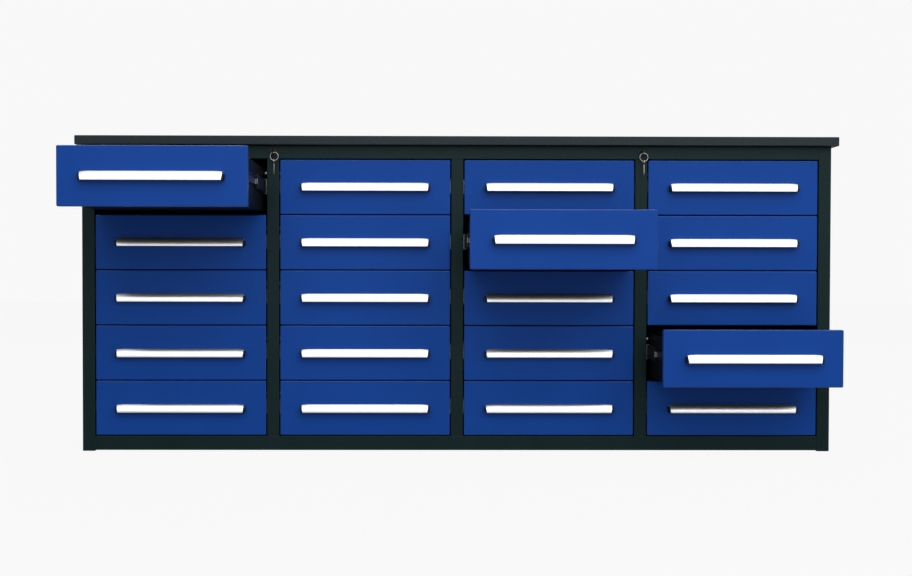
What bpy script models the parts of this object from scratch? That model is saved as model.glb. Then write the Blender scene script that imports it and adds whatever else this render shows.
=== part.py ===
"""A steel workbench with four columns of five drawers, every drawer on its own pair of slides.

The origin is on the floor, under the centre of the carcass. +X runs along the bench to the right as seen
from the front, +Y runs to the back, and +Z is up. Three drawers stand open; the rest are closed.
"""
import math

import bmesh
import bpy

# Driving dimensions, in metres
BENCH_HEIGHT = 0.954
TOP_THICKNESS = 0.027
TOP_SIDE_OVERHANG = 0.017
TOP_FRONT_OVERHANG = 0.025
TOP_REAR_OVERHANG = 0.015
TOP_CORNER_RADIUS = 0.005
CARCASS_DEPTH = 0.600
COLUMNS = 4
ROWS = 5
OPENING_WIDTH = 0.521
DIVIDER_WIDTH = 0.037
POST_WIDTH = 0.038
FOOT_HEIGHT = 0.003
BOTTOM_RAIL_HEIGHT = 0.043
TOP_RAIL_HEIGHT = 0.040
RAIL_DEPTH = 0.025
RAIL_WEB_SETBACK = 0.002
SHEET = 0.0012
GAP = 0.0003
FRONT_GAP = 0.003
OVERLAP = 0.001  # how far pieces that are joined run into each other
ROUND_SEGMENTS = 24

# Drawers and their slides
BOX_SHEET = 0.0010
FRONT_PAN_DEPTH = 0.018
BOX_SIDE_SPACE = 0.013
BOX_TOP_DROP = 0.024
BOX_BOTTOM_RISE = 0.010
BOX_LENGTH = 0.535
SLIDE_LENGTH = 0.500
SLIDE_SETBACK = 0.021
SLIDE_RISE = 0.003
SLIDE_HEIGHT = 0.045
SLIDE_DEPTH = 0.0122
INNER_SLIDE_HEIGHT = 0.026
INNER_SLIDE_DEPTH = 0.0095

# How far the drawers that stand open are pulled out, by (column, row), row 1 at the top
PULLED_OUT = {(1, 1): 0.443, (3, 2): 0.391, (4, 4): 0.256}

# Handle: an aluminium extrusion with an end cap on each end, hooked over the fingers
HANDLE_STRIP = 0.376
HANDLE_CAP = 0.009
HANDLE_WALL = 0.0025
HANDLE_TOP = 0.0125
HANDLE_BOTTOM = -0.0125
HANDLE_TOP_REACH = 0.009
HANDLE_REACH = 0.024
HANDLE_LIP = 0.007

# Lock: a barrel in the top rail, a key, and a bar in the divider below with two pegs a row
LOCK_COLUMNS_AFTER = (1, 3)
BARREL_RADIUS = 0.0095
BARREL_CLEARANCE = 0.0003
BARREL_FLANGE_RADIUS = 0.012
BARREL_FLANGE = 0.0025
BARREL_LENGTH = 0.022
PLUG_RADIUS = 0.006
KEY_BOW_RADIUS = 0.0105
KEY_BOW_HOLE = 0.0068
KEY_THICKNESS = 0.0020
KEY_BOW_REACH = 0.022
KEY_SHANK_HALF_HEIGHT = 0.0038
KEY_SHANK_LAP = 0.002
CAM_THROW = 0.012
CAM_THICKNESS = 0.002
CAM_HALF_HEIGHT = 0.004
CAM_TAIL = 0.005
CAM_TIP = 0.003
CAM_PIN_RADIUS = 0.002
CAM_PIN_LENGTH = 0.005
HEAD_CLEARANCE = 0.003
HEAD_HEIGHT = 0.003
HEAD_DEPTH = 0.005
LOCK_TRAVEL = 0.012
BAR_WIDTH = 0.012
BAR_THICKNESS = 0.005
BAR_SETBACK = 0.0315
BAR_CHANNEL_WIDTH = 0.032
BAR_CHANNEL_SETBACK = 0.019
BAR_CHANNEL_WALL = 0.002
BAR_CHANNEL_DROP = 0.034
PEG_RISE = 0.043
PEG_HEIGHT = 0.008
PEG_DEPTH = 0.014
PEG_REACH = 0.008
SLOT_MARGIN = 0.002

# Carcass pieces behind and below
BACK_PAN_DEPTH = 0.016
BASE_FLANGE = 0.015
FOOT_LENGTH = 0.070
FOOT_PAD = 0.003
MID_FOOT_WIDTH = 0.060
MID_FOOT_LENGTH = 0.460

# Worked out from the above
PITCH = OPENING_WIDTH + DIVIDER_WIDTH
CARCASS_WIDTH = COLUMNS * OPENING_WIDTH + (COLUMNS - 1) * DIVIDER_WIDTH + 2 * POST_WIDTH
SIDE_X = CARCASS_WIDTH / 2
INSIDE_X = SIDE_X - POST_WIDTH
FRONT_Y = -CARCASS_DEPTH / 2
BACK_Y = CARCASS_DEPTH / 2
TOP_UNDERSIDE = BENCH_HEIGHT - TOP_THICKNESS
OPENING_BOTTOM = FOOT_HEIGHT + BOTTOM_RAIL_HEIGHT
OPENING_TOP = TOP_UNDERSIDE - TOP_RAIL_HEIGHT
ROW_PITCH = (OPENING_TOP - OPENING_BOTTOM - FRONT_GAP) / ROWS
FRONT_HEIGHT = ROW_PITCH - FRONT_GAP
FRONT_WIDTH = OPENING_WIDTH - 2 * FRONT_GAP
BOX_WIDTH = OPENING_WIDTH - 2 * BOX_SIDE_SPACE
INNER_BACK_Y = BACK_Y - BACK_PAN_DEPTH - GAP
RAIL_BACK_Y = FRONT_Y + RAIL_DEPTH
LOCK_Z = TOP_UNDERSIDE - TOP_RAIL_HEIGHT / 2


def column_x(column):
    """The centre of a column of drawers, column 1 on the left."""
    return (column - (COLUMNS + 1) / 2) * PITCH


def row_z(row):
    """The height of a drawer front's centre, row 1 at the top."""
    return OPENING_BOTTOM + FRONT_GAP + FRONT_HEIGHT / 2 + (ROWS - row) * ROW_PITCH


def clear_scene():
    for item in list(bpy.data.objects):
        bpy.data.objects.remove(item, do_unlink=True)


def finish(name, colour, roughness, metallic):
    """A plain Principled material."""
    material = bpy.data.materials.new(name)
    material.use_nodes = True
    shader = material.node_tree.nodes["Principled BSDF"]
    shader.inputs["Base Color"].default_value = (*colour, 1.0)
    shader.inputs["Roughness"].default_value = roughness
    shader.inputs["Metallic"].default_value = metallic
    return material


def link(item):
    bpy.context.scene.collection.objects.link(item)
    return item


def prism(outline, axis, start, end):
    """A solid with this outline, run along an axis: (y, z) along X, (x, z) along Y or (x, y) along Z."""
    places = {
        "X": lambda point, along: (along, point[0], point[1]),
        "Y": lambda point, along: (point[0], along, point[1]),
        "Z": lambda point, along: (point[0], point[1], along),
    }
    shape = bmesh.new()
    ring = [shape.verts.new(places[axis](point, start)) for point in outline]
    face = shape.faces.new(ring)
    moved = bmesh.ops.extrude_face_region(shape, geom=[face])["geom"]
    travel = places[axis]((0, 0), end - start)
    ends = [part for part in moved if isinstance(part, bmesh.types.BMVert)]
    bmesh.ops.translate(shape, vec=travel, verts=ends)
    bmesh.ops.recalc_face_normals(shape, faces=shape.faces)
    mesh = bpy.data.meshes.new("prism")
    shape.to_mesh(mesh)
    shape.free()
    return link(bpy.data.objects.new("prism", mesh))


def block(low, high):
    """A box between two corners."""
    outline = [(low[0], low[1]), (high[0], low[1]), (high[0], high[1]), (low[0], high[1])]
    return prism(outline, "Z", low[2], high[2])


def circle(centre, radius, count=ROUND_SEGMENTS):
    turns = (2 * math.pi * step / count for step in range(count))
    return [(centre[0] + radius * math.cos(turn), centre[1] + radius * math.sin(turn)) for turn in turns]


def rounded_rectangle(low, high, radius, steps=3):
    """A rectangle's outline with round corners."""
    outline = []
    corners = (
        (high[0] - radius, high[1] - radius, 0),
        (low[0] + radius, high[1] - radius, 1),
        (low[0] + radius, low[1] + radius, 2),
        (high[0] - radius, low[1] + radius, 3),
    )
    for across, up, quarter in corners:
        for step in range(steps + 1):
            turn = (quarter + step / steps) * math.pi / 2
            outline.append((across + radius * math.cos(turn), up + radius * math.sin(turn)))
    return outline


def combine(solids, cuts=()):
    """One mesh: the first solid with the others joined on and the cuts taken out. The solids are used up."""
    base = solids[0]
    for operation, tools in (("UNION", solids[1:]), ("DIFFERENCE", cuts)):
        for tool in tools:
            modifier = base.modifiers.new(operation.lower(), "BOOLEAN")
            modifier.operation = operation
            modifier.solver = "EXACT"
            modifier.object = tool
    bpy.context.view_layer.update()
    seen = base.evaluated_get(bpy.context.evaluated_depsgraph_get())
    mesh = bpy.data.meshes.new_from_object(seen)
    for used in (*solids, *cuts):
        bpy.data.objects.remove(used, do_unlink=True)
    return mesh


def place(name, mesh, material, position=(0, 0, 0), parent=None):
    """A named node with this mesh and material."""
    mesh.name = name
    mesh.materials.clear()
    mesh.materials.append(material)
    item = link(bpy.data.objects.new(name, mesh))
    item.location = position
    item.parent = parent
    return item


def pivot(name, position):
    """An empty that carries a moving group."""
    item = link(bpy.data.objects.new(name, None))
    item.location = position
    return item


def channel(wall_x, side, web, depth, height, thickness, start, end, centre_z):
    """A slide member: a channel with its web let into the wall at wall_x and its edges out towards side."""
    inner = height / 2 - thickness
    profile = [
        (-web, -height / 2),
        (depth, -height / 2),
        (depth, -inner),
        (thickness, -inner),
        (thickness, inner),
        (depth, inner),
        (depth, height / 2),
        (-web, height / 2),
    ]
    outline = [(wall_x + side * out, centre_z + up) for out, up in profile]
    return prism(outline, "Y", start, end)


def outer_slides(wall_x, side):
    """The five outer slide members on one wall."""
    start = FRONT_Y + SLIDE_SETBACK
    end = start + SLIDE_LENGTH
    heights = [row_z(row) + SLIDE_RISE for row in range(1, ROWS + 1)]
    return [
        channel(wall_x, side, SHEET / 2, SLIDE_DEPTH, SLIDE_HEIGHT, SHEET, start, end, height)
        for height in heights
    ]


def side_panel(side):
    """A double-skinned end wall with its front post, two feet and outer slide members. side is -1 or 1."""
    inside, outside = sorted((side * INSIDE_X, side * SIDE_X))
    foot_end = BACK_Y - FOOT_LENGTH
    slope = FOOT_HEIGHT
    outline = [
        (FRONT_Y, 0),
        (-foot_end, 0),
        (-foot_end + slope, FOOT_HEIGHT),
        (foot_end - slope, FOOT_HEIGHT),
        (foot_end, 0),
        (BACK_Y, 0),
        (BACK_Y, TOP_UNDERSIDE - GAP),
        (FRONT_Y, TOP_UNDERSIDE - GAP),
    ]
    shell = prism(outline, "X", inside, outside)
    hollow = block(
        (inside + SHEET, FRONT_Y + SHEET, FOOT_HEIGHT + FOOT_PAD),
        (outside - SHEET, BACK_Y - SHEET, BENCH_HEIGHT),
    )
    relief = block(
        (inside + SHEET, -foot_end + 2 * slope, -FOOT_PAD),
        (outside - SHEET, foot_end - 2 * slope, FOOT_HEIGHT + 2 * FOOT_PAD),
    )
    return combine([shell, *outer_slides(side * INSIDE_X, -side)], [hollow, relief])


def divider(column, locked):
    """A double-skinned wall between two columns, with outer slide members on both sides.

    Its skins run up behind the top rail to the worktop, and a lock's divider has slots for the pegs.
    """
    centre = column_x(column) + PITCH / 2
    left, right = centre - DIVIDER_WIDTH / 2, centre + DIVIDER_WIDTH / 2
    bottom = OPENING_BOTTOM + GAP
    outline = [
        (FRONT_Y, bottom),
        (INNER_BACK_Y, bottom),
        (INNER_BACK_Y, TOP_UNDERSIDE - GAP),
        (RAIL_BACK_Y + GAP, TOP_UNDERSIDE - GAP),
        (RAIL_BACK_Y + GAP, OPENING_TOP - GAP),
        (FRONT_Y, OPENING_TOP - GAP),
    ]
    shell = prism(outline, "X", left, right)
    hollow = block((left + SHEET, FRONT_Y + SHEET, 0), (right - SHEET, INNER_BACK_Y - SHEET, BENCH_HEIGHT))
    cuts = [hollow]
    if locked:
        peg_y = FRONT_Y + BAR_SETBACK - PEG_DEPTH / 2 + BAR_THICKNESS / 2
        for row in range(1, ROWS + 1):
            low = row_z(row) + PEG_RISE - PEG_HEIGHT / 2 - SLOT_MARGIN
            high = low + PEG_HEIGHT + LOCK_TRAVEL + 2 * SLOT_MARGIN
            front = peg_y - PEG_DEPTH / 2 - SLOT_MARGIN
            back = peg_y + PEG_DEPTH / 2 + SLOT_MARGIN
            cuts.append(block((left - SHEET, front, low), (right + SHEET, back, high)))
    return combine([shell, *outer_slides(left, -1), *outer_slides(right, 1)], cuts)


def back_panel():
    """A shallow pan between the end walls, its flanges turned forwards."""
    edge = INSIDE_X - GAP
    front = BACK_Y - BACK_PAN_DEPTH
    pan = block((-edge, front, FOOT_HEIGHT), (edge, BACK_Y, TOP_UNDERSIDE - GAP))
    hollow = block(
        (-edge + SHEET, front - SHEET, FOOT_HEIGHT + SHEET),
        (edge - SHEET, BACK_Y - SHEET, TOP_UNDERSIDE - GAP - SHEET),
    )
    return combine([pan], [hollow])


def base_panel():
    """The cabinet's floor, with its edges turned down."""
    edge = INSIDE_X - GAP
    front, back = RAIL_BACK_Y + GAP, INNER_BACK_Y
    pan = block((-edge, front, OPENING_BOTTOM - BASE_FLANGE), (edge, back, OPENING_BOTTOM))
    hollow = block(
        (-edge + SHEET, front + SHEET, 0),
        (edge - SHEET, back - SHEET, OPENING_BOTTOM - SHEET),
    )
    return combine([pan], [hollow])


def front_rail(bottom, top, holes=(), webs=()):
    """A channel across the front between the end walls, open at the back, with round holes for the locks.

    A web closes the channel beside each wall that it crosses.
    """
    inner_y = FRONT_Y + SHEET
    outline = [
        (FRONT_Y, bottom),
        (RAIL_BACK_Y, bottom),
        (RAIL_BACK_Y, bottom + SHEET),
        (inner_y, bottom + SHEET),
        (inner_y, top - SHEET),
        (RAIL_BACK_Y, top - SHEET),
        (RAIL_BACK_Y, top),
        (FRONT_Y, top),
    ]
    rail = prism(outline, "X", -INSIDE_X + GAP, INSIDE_X - GAP)
    cutters = [
        prism(circle((x, LOCK_Z), BARREL_RADIUS + BARREL_CLEARANCE), "Y", FRONT_Y - SHEET, inner_y + SHEET)
        for x in holes
    ]
    low, high = bottom + SHEET - OVERLAP, top - SHEET + OVERLAP
    plates = [block((x, inner_y - OVERLAP, low), (x + SHEET, RAIL_BACK_Y, high)) for x in webs]
    return combine([rail, *plates], cutters)


def mid_foot():
    """A channel on the floor under the middle wall, open at the top."""
    half = MID_FOOT_WIDTH / 2
    top = OPENING_BOTTOM - SHEET - GAP
    outline = [
        (-half, 0),
        (half, 0),
        (half, top),
        (half - SHEET, top),
        (half - SHEET, SHEET),
        (-half + SHEET, SHEET),
        (-half + SHEET, top),
        (-half, top),
    ]
    return combine([prism(outline, "Y", -MID_FOOT_LENGTH / 2, MID_FOOT_LENGTH / 2)])


def worktop_edges(inset):
    low = (-SIDE_X - TOP_SIDE_OVERHANG + inset, FRONT_Y - TOP_FRONT_OVERHANG + inset)
    high = (SIDE_X + TOP_SIDE_OVERHANG - inset, BACK_Y + TOP_REAR_OVERHANG - inset)
    return rounded_rectangle(low, high, TOP_CORNER_RADIUS - inset)


def worktop_cover():
    """The steel skin, folded down over all four edges of the core."""
    skin = prism(worktop_edges(0), "Z", TOP_UNDERSIDE, BENCH_HEIGHT)
    hollow = prism(worktop_edges(SHEET), "Z", TOP_UNDERSIDE - SHEET, BENCH_HEIGHT - SHEET)
    return combine([skin], [hollow])


def worktop_core():
    return combine([prism(worktop_edges(SHEET + GAP), "Z", TOP_UNDERSIDE, BENCH_HEIGHT - SHEET - GAP)])


def drawer_box():
    """A drawer about the centre of its front face: front pan, box and the inner slide members."""
    half_front, half_height = FRONT_WIDTH / 2, FRONT_HEIGHT / 2
    pan = block((-half_front, 0, -half_height), (half_front, FRONT_PAN_DEPTH, half_height))
    pan_hollow = block(
        (-half_front + SHEET, SHEET, -half_height + SHEET),
        (half_front - SHEET, FRONT_PAN_DEPTH + SHEET, half_height - SHEET),
    )
    front = place("front", combine([pan], [pan_hollow]), STEEL_BLUE)
    half_box = BOX_WIDTH / 2
    low, high = -half_height + BOX_BOTTOM_RISE, half_height - BOX_TOP_DROP
    box = block((-half_box, SHEET / 2, low), (half_box, BOX_LENGTH, high))
    start = SLIDE_SETBACK - BOX_SHEET
    slides = [
        channel(
            side * half_box, side, BOX_SHEET / 2, INNER_SLIDE_DEPTH, INNER_SLIDE_HEIGHT, SHEET,
            start, start + SLIDE_LENGTH, SLIDE_RISE,
        )
        for side in (-1, 1)
    ]
    inner_front = FRONT_PAN_DEPTH + BOX_SHEET
    pockets = [
        block((-half_box + BOX_SHEET, near, low + BOX_SHEET), (half_box - BOX_SHEET, far, half_height))
        for near, far in ((SHEET, inner_front - BOX_SHEET), (inner_front, BOX_LENGTH - BOX_SHEET))
    ]
    tub = place("tub", combine([box, *slides], pockets), STEEL_BLUE)
    return combine([front, tub])


def handle_bar():
    """The handle about the centre of its drawer's front face: a hooked strip closed by a cap at each end."""
    out = [GAP, HANDLE_TOP_REACH, HANDLE_REACH]
    run = (out[2] - out[1], HANDLE_BOTTOM - HANDLE_TOP)
    length = math.hypot(*run)
    inward = (HANDLE_WALL * run[1] / length, -HANDLE_WALL * run[0] / length)
    lip_top = HANDLE_BOTTOM + HANDLE_WALL
    face_slope = run[0] / run[1]
    inner_top = HANDLE_TOP - HANDLE_WALL
    top_inside = out[1] + inward[0] + face_slope * (inner_top - HANDLE_TOP - inward[1])
    lip_inside = out[1] + inward[0] + face_slope * (lip_top - HANDLE_TOP - inward[1])
    outer = [(out[0], HANDLE_TOP), (out[1], HANDLE_TOP), (out[2], HANDLE_BOTTOM)]
    lip = [(out[2] - HANDLE_LIP, HANDLE_BOTTOM), (out[2] - HANDLE_LIP, lip_top), (lip_inside, lip_top)]
    flange_end = -HANDLE_TOP / 4
    flange_face = GAP + HANDLE_WALL
    flange = [(top_inside, inner_top), (flange_face, inner_top), (flange_face, flange_end), (GAP, flange_end)]
    section = [(-reach, up) for reach, up in (*outer, *lip, *flange)]
    strip = prism(section, "X", -HANDLE_STRIP / 2, HANDLE_STRIP / 2)
    cap_outline = [(-reach, up) for reach, up in (*outer, (GAP, HANDLE_BOTTOM))]
    cap_start, cap_end = HANDLE_STRIP / 2 - OVERLAP, HANDLE_STRIP / 2 + HANDLE_CAP
    caps = [prism(cap_outline, "X", side * cap_start, side * cap_end) for side in (-1, 1)]
    return combine([strip, *caps])


def lock_barrel():
    """The lock's fixed barrel and its rim, about the lock's axis at the rail's face, bored for the plug."""
    barrel = prism(circle((0, 0), BARREL_RADIUS), "Y", -BARREL_FLANGE / 2, BARREL_LENGTH)
    rim = prism(circle((0, 0), BARREL_FLANGE_RADIUS), "Y", -BARREL_FLANGE, -GAP)
    bore_radius = PLUG_RADIUS + BARREL_CLEARANCE
    bore = prism(circle((0, 0), bore_radius), "Y", -BARREL_FLANGE - OVERLAP, BARREL_LENGTH + OVERLAP)
    return combine([barrel, rim], [bore])


def lock_key():
    """Plug, key and cam in one: the cam points left and its pin lifts the bar's head on a quarter turn."""
    plug_front = -BARREL_FLANGE - OVERLAP
    cam_front = BARREL_LENGTH + OVERLAP / 2
    cam_back = cam_front + CAM_THICKNESS
    plug = prism(circle((0, 0), PLUG_RADIUS), "Y", plug_front, cam_front + OVERLAP)
    half = KEY_THICKNESS / 2
    bow_centre = plug_front - KEY_BOW_REACH + KEY_BOW_RADIUS
    shank_front = bow_centre - KEY_BOW_RADIUS + KEY_SHANK_LAP + KEY_BOW_HOLE
    shank = block(
        (-half, shank_front, -KEY_SHANK_HALF_HEIGHT), (half, plug_front + OVERLAP, KEY_SHANK_HALF_HEIGHT)
    )
    bow = prism(circle((bow_centre, 0), KEY_BOW_RADIUS), "X", -half, half)
    eye = prism(circle((bow_centre, 0), KEY_BOW_HOLE), "X", -KEY_THICKNESS, KEY_THICKNESS)
    tip = -CAM_THROW - CAM_TIP
    outline = [
        (CAM_TAIL, -CAM_HALF_HEIGHT),
        (CAM_TAIL, CAM_HALF_HEIGHT),
        (tip, CAM_HALF_HEIGHT),
        (tip, -CAM_HALF_HEIGHT),
    ]
    lever = prism(outline, "Y", cam_front, cam_back)
    pin = prism(
        circle((-CAM_THROW, 0), CAM_PIN_RADIUS), "Y", cam_back - OVERLAP, cam_back + CAM_PIN_LENGTH
    )
    return combine([plug, shank, bow, lever, pin], [eye])


def lock_bar():
    """The bar about the lock's axis: its head stands over the cam's pin, its pegs leave the divider.

    Below the barrel it is a channel that fills the divider and stays behind the slots.
    """
    half = BAR_WIDTH / 2
    front = BAR_SETBACK
    back = front + BAR_THICKNESS
    head_low = CAM_PIN_RADIUS + HEAD_CLEARANCE
    head_high = head_low + HEAD_HEIGHT
    head_end = CAM_THROW + CAM_PIN_RADIUS
    bottom = row_z(ROWS) - LOCK_Z
    shaft = block((-half, front, bottom), (half, back, head_high))
    head = block((-head_end, front - HEAD_DEPTH, head_low), (head_end, back, head_high))
    side, web = BAR_CHANNEL_WIDTH / 2, BAR_CHANNEL_SETBACK + BAR_CHANNEL_WALL
    channel_outline = [
        (-side, BAR_CHANNEL_SETBACK),
        (side, BAR_CHANNEL_SETBACK),
        (side, back),
        (side - BAR_CHANNEL_WALL, back),
        (side - BAR_CHANNEL_WALL, web),
        (-side + BAR_CHANNEL_WALL, web),
        (-side + BAR_CHANNEL_WALL, back),
        (-side, back),
    ]
    cover = prism(channel_outline, "Z", bottom, -BAR_CHANNEL_DROP)
    reach = DIVIDER_WIDTH / 2 + PEG_REACH
    peg_back = front + BAR_THICKNESS / 2
    pegs = []
    for row in range(1, ROWS + 1):
        low = row_z(row) + PEG_RISE - LOCK_Z - PEG_HEIGHT / 2
        corners = (peg_back - PEG_DEPTH, low), (peg_back, low + PEG_HEIGHT)
        outline = rounded_rectangle(*corners, PEG_HEIGHT / 3)
        pegs.append(prism(outline, "X", -reach, reach))
    return combine([shaft, head, cover, *pegs])


def build_frame():
    place("left_side_panel", side_panel(-1), STEEL_BLACK)
    place("right_side_panel", side_panel(1), STEEL_BLACK)
    for column in range(1, COLUMNS):
        place(f"divider_{column}", divider(column, column in LOCK_COLUMNS_AFTER), STEEL_BLACK)
    place("back_panel", back_panel(), STEEL_BLACK)
    place("base_panel", base_panel(), STEEL_BLACK)
    place("bottom_rail", front_rail(FOOT_HEIGHT, OPENING_BOTTOM), STEEL_BLACK)
    locks = [column_x(column) + PITCH / 2 for column in LOCK_COLUMNS_AFTER]
    wall_sides = [column_x(column) + (PITCH + DIVIDER_WIDTH) / 2 for column in range(1, COLUMNS)]
    webs = [side - RAIL_WEB_SETBACK for side in wall_sides]
    place("top_rail", front_rail(OPENING_TOP, TOP_UNDERSIDE - GAP, locks, webs), STEEL_BLACK)
    place("mid_foot", mid_foot(), STEEL_BLACK)
    place("worktop_core", worktop_core(), WOOD)
    place("worktop_cover", worktop_cover(), STEEL_TOP)


def build_drawers():
    box, bar = drawer_box(), handle_bar()
    for column in range(1, COLUMNS + 1):
        for row in range(1, ROWS + 1):
            pulled = PULLED_OUT.get((column, row), 0)
            tag = f"c{column}r{row}"
            mover = pivot(f"slide_axis_{tag}", (column_x(column), FRONT_Y - pulled, row_z(row)))
            place(f"drawer_{tag}", box, STEEL_BLUE, parent=mover)
            place(f"handle_{tag}", bar, ALUMINIUM, parent=mover)


def build_locks():
    barrel, key, bar = lock_barrel(), lock_key(), lock_bar()
    for number, column in enumerate(LOCK_COLUMNS_AFTER, start=1):
        axis = (column_x(column) + PITCH / 2, FRONT_Y, LOCK_Z)
        turner = pivot(f"lock_axis_{number}", axis)
        place(f"lock_barrel_{number}", barrel, NICKEL, axis)
        place(f"lock_key_{number}", key, NICKEL, parent=turner)
        place(f"lock_bar_{number}", bar, ZINC, axis)


clear_scene()
STEEL_BLACK = finish("black painted steel", (0.012, 0.017, 0.020), 0.5, 0.0)
STEEL_TOP = finish("charcoal painted steel", (0.028, 0.035, 0.040), 0.5, 0.0)
STEEL_BLUE = finish("blue painted steel", (0.012, 0.055, 0.290), 0.45, 0.0)
ALUMINIUM = finish("satin aluminium", (0.82, 0.83, 0.84), 0.35, 1.0)
ZINC = finish("zinc plated steel", (0.60, 0.61, 0.62), 0.35, 1.0)
NICKEL = finish("nickel plated brass", (0.62, 0.62, 0.63), 0.25, 1.0)
WOOD = finish("pressed board", (0.36, 0.25, 0.15), 0.8, 0.0)
build_frame()
build_drawers()
build_locks()
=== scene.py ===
import math

import bmesh
import bpy
from mathutils import Matrix, Vector


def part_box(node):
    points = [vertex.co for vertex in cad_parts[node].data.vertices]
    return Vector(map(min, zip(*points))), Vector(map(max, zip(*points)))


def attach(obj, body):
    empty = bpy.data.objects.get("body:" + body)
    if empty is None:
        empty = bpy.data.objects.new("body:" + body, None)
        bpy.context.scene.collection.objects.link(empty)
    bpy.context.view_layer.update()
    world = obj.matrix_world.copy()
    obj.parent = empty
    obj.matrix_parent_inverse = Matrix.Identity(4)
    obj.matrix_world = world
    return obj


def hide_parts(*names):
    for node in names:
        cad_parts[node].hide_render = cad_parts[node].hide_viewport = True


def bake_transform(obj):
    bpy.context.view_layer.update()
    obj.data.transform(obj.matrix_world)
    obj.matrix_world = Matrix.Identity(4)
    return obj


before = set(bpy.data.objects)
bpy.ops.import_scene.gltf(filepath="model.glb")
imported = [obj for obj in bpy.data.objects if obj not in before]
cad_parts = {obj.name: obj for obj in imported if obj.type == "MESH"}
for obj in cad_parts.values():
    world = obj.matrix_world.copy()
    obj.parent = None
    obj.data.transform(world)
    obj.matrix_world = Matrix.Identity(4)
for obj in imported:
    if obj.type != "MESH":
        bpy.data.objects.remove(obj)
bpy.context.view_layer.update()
print("frame loaded")

mm = 0.001
columns, rows = range(1, 5), range(1, 6)
steel = 1.2 * mm  # the thickness of all the sheet
play = 0.3 * mm  # what is left where one piece lies on another

# nodes


def addNode(tree, kind, values=None, **settings):
    node = tree.nodes.new(kind)
    count = len(tree.nodes)
    node.location = (190 * (count % 7), -260 * (count // 7))
    for name, value in settings.items():
        setattr(node, name, value)
    for name, value in (values or {}).items():
        node.inputs[name].default_value = value
    return node


def feed(tree, socket, value):  # a link, or a plain number
    if isinstance(value, bpy.types.NodeSocket):
        tree.links.new(value, socket)
    elif value is not None:
        socket.default_value = value


def maths(tree, operation, first, second=None, clamp=False):
    node = addNode(tree, "ShaderNodeMath", operation=operation, use_clamp=clamp)
    feed(tree, node.inputs[0], first)
    feed(tree, node.inputs[1], second)
    return node.outputs[0]


def ramp(tree, value, low, high, start=0.0, end=1.0):
    limits = {"From Min": start, "From Max": end, "To Min": low, "To Max": high}
    node = addNode(tree, "ShaderNodeMapRange", limits)
    feed(tree, node.inputs["Value"], value)
    return node.outputs[0]


def mixColour(tree, factor, first, second):
    node = addNode(tree, "ShaderNodeMix", data_type="RGBA")
    feed(tree, node.inputs[0], factor)
    for socket, value in ((node.inputs[6], first), (node.inputs[7], second)):
        feed(tree, socket, (*value, 1.0) if isinstance(value, tuple) else value)
    return node.outputs[2]


def noise(tree, place, scale, detail=2.0, roughness=0.5):
    node = addNode(tree, "ShaderNodeTexNoise", {"Detail": detail, "Roughness": roughness})
    feed(tree, node.inputs["Vector"], place)
    feed(tree, node.inputs["Scale"], scale)
    return node.outputs[0]


def newGroup(name, inputs, outputs):
    group = bpy.data.node_groups.new(name, "ShaderNodeTree")
    for label, value in inputs.items():
        socket = group.interface.new_socket(label, in_out="INPUT", socket_type="NodeSocketFloat")
        socket.default_value = value
    for label in outputs:
        group.interface.new_socket(label, in_out="OUTPUT", socket_type="NodeSocketFloat")
    start, end = addNode(group, "NodeGroupInput"), addNode(group, "NodeGroupOutput")
    place = addNode(group, "ShaderNodeTexCoord").outputs["Object"]
    return group, start.outputs, end.inputs, place


def sizeToScale(tree, size):  # a size in millimetres to a texture's scale in metres
    return maths(tree, "DIVIDE", 1000.0, size)


def buildPowderCoat():
    group, given, out, place = newGroup("powderCoat", {"Peel": 2.0, "Patch": 160.0}, ("Peel", "Patch"))
    peel = noise(group, place, sizeToScale(group, given["Peel"]), 3.0)
    patch = noise(group, place, sizeToScale(group, given["Patch"]), 4.0, 0.6)
    feed(group, out["Peel"], peel)
    feed(group, out["Patch"], ramp(group, patch, 0.0, 1.0, 0.3, 0.7))
    return group


# edge mask: worn paint on the edges, and on the blue paint a painted highlight along them
def buildEdgeWearAndHighlight():
    group, given, out, place = newGroup("edgeWearAndHighlight", {"Radius": 1.5, "Breakup": 14.0}, ("Mask",))
    bevel = addNode(group, "ShaderNodeBevel", samples=4)
    feed(group, bevel.inputs["Radius"], maths(group, "MULTIPLY", given["Radius"], mm))
    normal = addNode(group, "ShaderNodeNewGeometry").outputs["Normal"]
    dot = addNode(group, "ShaderNodeVectorMath", operation="DOT_PRODUCT")
    feed(group, dot.inputs[0], bevel.outputs[0])
    feed(group, dot.inputs[1], normal)
    edge = ramp(group, maths(group, "SUBTRACT", 1.0, dot.outputs["Value"]), 0.0, 1.0, 0.02, 0.22)
    chipped = noise(group, place, sizeToScale(group, given["Breakup"]), 5.0, 0.65)
    broken = ramp(group, chipped, 0.0, 1.0, 0.42, 0.62)
    feed(group, out["Mask"], maths(group, "MULTIPLY", edge, broken, clamp=True))
    return group


def buildDust():
    group, given, out, place = newGroup("dust", {"Amount": 0.3, "Patch": 60.0}, ("Mask",))
    normal = addNode(group, "ShaderNodeNewGeometry").outputs["Normal"]
    split = addNode(group, "ShaderNodeSeparateXYZ")
    feed(group, split.inputs[0], normal)
    upward = ramp(group, split.outputs["Z"], 0.0, 1.0, 0.55, 1.0)
    patches = noise(group, place, sizeToScale(group, given["Patch"]), 5.0, 0.6)
    cloud = ramp(group, patches, 0.25, 1.0, 0.35, 0.7)
    both = maths(group, "MULTIPLY", upward, cloud)
    feed(group, out["Mask"], maths(group, "MULTIPLY", both, given["Amount"], clamp=True))
    return group


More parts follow.
